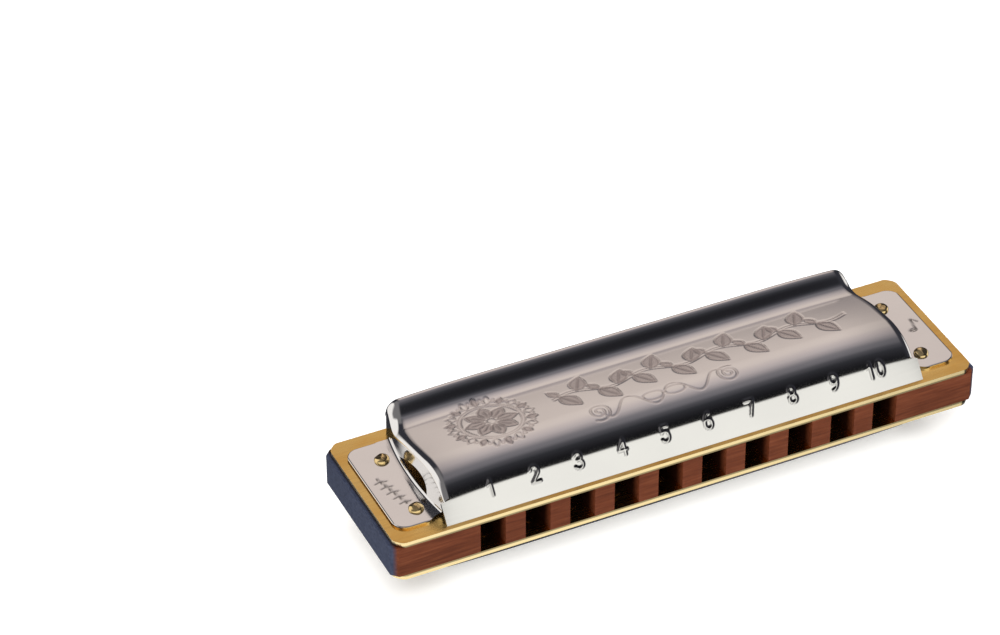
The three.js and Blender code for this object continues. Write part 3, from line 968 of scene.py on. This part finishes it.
def lathe(name, profile, centre, material, sides):
    """A turned solid. The profile's (radius, z) points start and end on the axis."""
    vertices, faces = [], []
    rings = []
    for radius, z in profile:
        if radius == 0.0:
            rings.append([len(vertices)])
            vertices.append((centre[0], centre[1], z))
            continue
        ring = []
        for k in range(sides):
            angle = 2 * math.pi * k / sides
            x = centre[0] + radius * math.cos(angle)
            ring.append(len(vertices))
            vertices.append((x, centre[1] + radius * math.sin(angle), z))
        rings.append(ring)
    for low, high in zip(rings[:-1], rings[1:]):
        for k in range(sides):
            a, b = low[k % len(low)], low[(k + 1) % len(low)]
            c, d = high[(k + 1) % len(high)], high[k % len(high)]
            face = [a] if a == b else [a, b]
            face += [c] if c == d else [c, d]
            faces.append(tuple(face))
    piece = new_piece(name, vertices, faces, material)
    shape = bmesh.new()
    shape.from_mesh(piece.data)
    bmesh.ops.recalc_face_normals(shape, faces=shape.faces)
    shape.to_mesh(piece.data)
    shape.free()
    shade(piece, 40)
    return piece


# ---------------------------------------------------------------- nails


NAIL_SHANK = 0.5
NAIL_TIP = 0.8                      # length of a nail's point
HEAD_HEIGHT = {"cover": 0.85, "plate": 0.4}
HEAD_RIM = 0.1                      # height of the head's upright rim
DENTS = 4
DENT_REACH = 0.5                    # in head radii
DENT_DEPTH = 0.13                   # in head heights


def nail(node, up, material, seed):
    """A round-headed nail whose head carries the marks of the hammer."""
    low, high = box_mm(node)
    centre = ((low[0] + high[0]) / 2, (low[1] + high[1]) / 2)
    radius = (high[0] - low[0]) / 2
    head_height = HEAD_HEIGHT["cover" if "cover" in node else "plate"]
    seat = high[2] - head_height if up > 0 else low[2] + head_height
    point = low[2] if up > 0 else high[2]
    profile = [
        (0.0, point),
        (NAIL_SHANK * 0.35, point + up * 0.05),
        (NAIL_SHANK, point + up * NAIL_TIP),
        (NAIL_SHANK, seat - up * 0.02),
        (radius * 0.94, seat + up * 0.01),
        (radius, seat + up * HEAD_RIM),
    ]
    for degrees in (15, 30, 45, 60, 75):
        a = math.radians(degrees)
        z = seat + up * (HEAD_RIM + (head_height - HEAD_RIM) * math.sin(a))
        profile.append((radius * math.cos(a) ** 0.9, z))
    profile.append((0.0, seat + up * head_height))
    piece = lathe(f"{node}_brass", profile, centre, material, 32)

    random = np.random.default_rng(seed)
    dents = [
        (random.uniform(0, 2 * math.pi), random.uniform(0.25, 0.75) * radius)
        for _ in range(DENTS)
    ]
    for vertex in piece.data.vertices:
        p = np.array(vertex.co) / MM
        if (p[2] - seat) * up < 0.2:
            continue
        push = 0.0
        for angle, away in dents:
            at = (centre[0] + away * math.cos(angle), centre[1] + away * math.sin(angle))
            gap = math.hypot(p[0] - at[0], p[1] - at[1]) / (DENT_REACH * radius)
            push += DENT_DEPTH * head_height * max(0.0, 1 - gap * gap)
        vertex.co.z -= up * push * MM
    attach(piece, "root")
    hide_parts(node)
    return piece


# ---------------------------------------------------------------- stage: floor, world and lights


def floor():
    size = 3.0
    mesh = bpy.data.meshes.new("floor")
    corners = [(-size, -size, 0), (size, -size, 0), (size, size, 0), (-size, size, 0)]
    mesh.from_pydata(corners, [], [(0, 1, 2, 3)])
    m = Nodes(bpy.data.materials.new("floor"))
    speckle = m.noise((25, 25, 25), 2)
    m.set(
        Base_Color=m.ramp(speckle, [(0.3, (0.90, 0.90, 0.895)), (0.7, (0.92, 0.92, 0.915))]),
        Roughness=0.9,
        Emission_Color=(1.0, 1.0, 0.995, 1.0),
        Emission_Strength=0.22,
    )
    mesh.materials.append(m.owner)
    plane = bpy.data.objects.new("floor", mesh)
    plane.visible_glossy = False
    bpy.context.scene.collection.objects.link(plane)


# The sky's color by the sine of a direction's height, measured about the X axis.
FRONT_SKY = [
    (0.000, (1.10, 1.09, 1.03)),
    (0.550, (1.00, 1.00, 0.94)),
    (0.590, (0.008, 0.008, 0.008)),
    (0.745, (0.010, 0.010, 0.012)),
    (0.850, (0.020, 0.020, 0.024)),
    (0.926, (0.032, 0.033, 0.039)),
    (0.980, (0.085, 0.084, 0.096)),
    (1.000, (0.170, 0.163, 0.180)),
]
BACK_SKY = [
    (0.000, (0.050, 0.050, 0.060)),
    (0.149, (0.060, 0.060, 0.075)),
    (0.202, (0.380, 0.335, 0.320)),
    (0.255, (0.500, 0.430, 0.400)),
    (0.351, (0.660, 0.575, 0.530)),
    (0.489, (0.720, 0.630, 0.580)),
    (0.649, (0.740, 0.650, 0.600)),
    (0.840, (0.610, 0.535, 0.520)),
    (0.920, (0.520, 0.465, 0.462)),
    (0.973, (0.370, 0.336, 0.345)),
    (1.000, (0.210, 0.201, 0.218)),
]
DUSK = (0.22, 0.195, 0.20)
DARK_PANEL = (0.035, 0.036, 0.045)
WHITE_PANEL = (1.0, 0.98, 0.95)
SOFT_PANEL = (0.19, 0.185, 0.19)
# Spans of a direction's x, y or level over which one part of the studio fades into the next.
FRONT_TO_BACK_Y = (-0.12, 0.12)
DUSK_LEVEL = (0.26, 0.38)
DUSK_X = (0.35, 0.44)
DUSK_STRENGTH = 0.8
BACK_DARK_X = (0.10, 0.28)
BACK_WHITE_X = (-0.46, -0.34)
SIDE_DARK_X = (0.44, 0.60)
SIDE_WHITE_X = (0.88, 0.95)
OVERHEAD_X = (0.02, 0.16)
OVERHEAD_Y = (0.35, 0.55)


def world():
    """A studio with a white wall in front and a dim ceiling. At the back a rosy wall stands
    between dark panels, with white ones farther out. Bent steel shows its shape in them."""
    studio = bpy.data.worlds.new("studio")
    m = Nodes(studio)
    x, y, z = m.split("Generated")
    about_x = m.math("SQRT", m.math("SUBTRACT", 1.0, m.math("MULTIPLY", x, x)))
    level = m.math("DIVIDE", z, m.math("MAXIMUM", about_x, 0.05))
    front = m.ramp(level, FRONT_SKY)
    back = m.ramp(level, BACK_SKY)

    low = m.falling(level, DUSK_LEVEL)
    half_right = m.scaled(x, 0.0, DUSK_STRENGTH, *DUSK_X)
    back = m.mix(m.math("MULTIPLY", low, half_right), back, (*DUSK, 1))
    back = m.mix(m.falling(x, BACK_DARK_X), back, (*DARK_PANEL, 1))
    back = m.mix(m.falling(x, BACK_WHITE_X), back, (*WHITE_PANEL, 1))

    sky = m.mix(m.rising(y, FRONT_TO_BACK_Y), front, back)
    sky = m.mix(m.rising(x, SIDE_DARK_X), sky, (*DARK_PANEL, 1))
    sky = m.mix(m.rising(x, SIDE_WHITE_X), sky, (*WHITE_PANEL, 1))
    overhead = m.math("MULTIPLY", m.falling(x, OVERHEAD_X), m.falling(y, OVERHEAD_Y))
    sky = m.mix(overhead, sky, (*SOFT_PANEL, 1), "LIGHTEN")

    background = m.tree.nodes["Background"]
    m.put(background.inputs["Color"], sky)
    background.inputs["Strength"].default_value = 1.0
    bpy.context.scene.world = studio


def soft_light(name, place, power, size):
    """A square lamp that faces the origin and isn't seen in the metal."""
    light = bpy.data.lights.new(name, "AREA")
    light.energy = power
    light.size = size
    lamp = bpy.data.objects.new(name, light)
    lamp.location = place
    lamp.rotation_mode = "QUATERNION"
    lamp.rotation_quaternion = (-Vector(place)).to_track_quat("-Z", "Y")
    lamp.visible_glossy = False
    bpy.context.scene.collection.objects.link(lamp)


CAMERA_AZIMUTH, CAMERA_ELEVATION, CAMERA_ROLL = -25.206, 37.526, -0.249   # degrees
CAMERA_DISTANCE = 0.64569
CAMERA_TARGET = Vector((-0.010132, 0.035610, 0.00985))
CAMERA_LENS = 141.466


def camera():
    azimuth, elevation = math.radians(CAMERA_AZIMUTH), math.radians(CAMERA_ELEVATION)
    back = Vector((
        math.sin(azimuth) * math.cos(elevation),
        -math.cos(azimuth) * math.cos(elevation),
        math.sin(elevation),
    ))
    right = Vector((math.cos(azimuth), math.sin(azimuth), 0.0))
    up = back.cross(right)
    roll = math.radians(CAMERA_ROLL)
    rolled_right = right * math.cos(roll) + up * math.sin(roll)
    rolled_up = back.cross(rolled_right)
    data = bpy.data.cameras.new("camera")
    data.lens = CAMERA_LENS
    data.sensor_width = 36.0
    data.clip_start = 0.01
    view = bpy.data.objects.new("camera", data)
    view.matrix_world = Matrix.Translation(CAMERA_TARGET + back * CAMERA_DISTANCE) @ Matrix(
        (rolled_right, rolled_up, back)
    ).transposed().to_4x4()
    bpy.context.scene.collection.objects.link(view)
    bpy.context.scene.camera = view


# ---------------------------------------------------------------- everything together

camera()
world()
floor()
soft_light("key", (-0.45, -0.55, 0.75), 7.0, 0.5)
soft_light("fill", (0.6, -0.2, 0.6), 4.0, 0.6)
soft_light("top", (0.0, 0.4, 0.9), 5.0, 0.7)

steel = cover_steel()
inside = unpolished_steel()
# edge: the painted highlight color of the faces that stand upright
plate_brass = brass(
    "plate_brass", dark=(0.80, 0.47, 0.12), light=(0.98, 0.68, 0.24), roughness=0.24,
    grain=(40, 1800, 1800), edge=(0.94, 0.76, 0.42),
)
reed_brass = brass(
    "reed_brass", dark=(0.78, 0.52, 0.2), light=(0.88, 0.62, 0.28), roughness=0.26,
    grain=(1500, 60, 1500), edge=(0.88, 0.62, 0.28),
)
nail_brass = brass(
    "nail_brass", dark=(0.78, 0.56, 0.25), light=(0.95, 0.76, 0.42), roughness=0.16,
    grain=(700, 700, 700), edge=(0.86, 0.64, 0.3),
)

wood = worked_copy("comb_wood", "comb", comb_wood(), 0.14)
for kind in ("blow", "draw"):
    plate = worked_copy(f"{kind}_plate_brass", f"{kind}_reed_plate", plate_brass, 0.2, 0.55)
    for number in range(1, HOLES + 1):
        reed(kind, number, reed_brass)

upper = cover("upper_cover_sheet", FINE, True, 1, steel, inside)
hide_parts("upper_cover")
lower = cover("lower_cover_sheet", COARSE, False, -1, steel, inside)
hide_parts("lower_cover")

for seed, node in enumerate(sorted(n for n in frame["nodes"] if "_nail_" in n)):
    nail(node, 1 if node.startswith("upper") else -1, nail_brass, seed)

bpy.context.scene.view_settings.view_transform = "Standard"
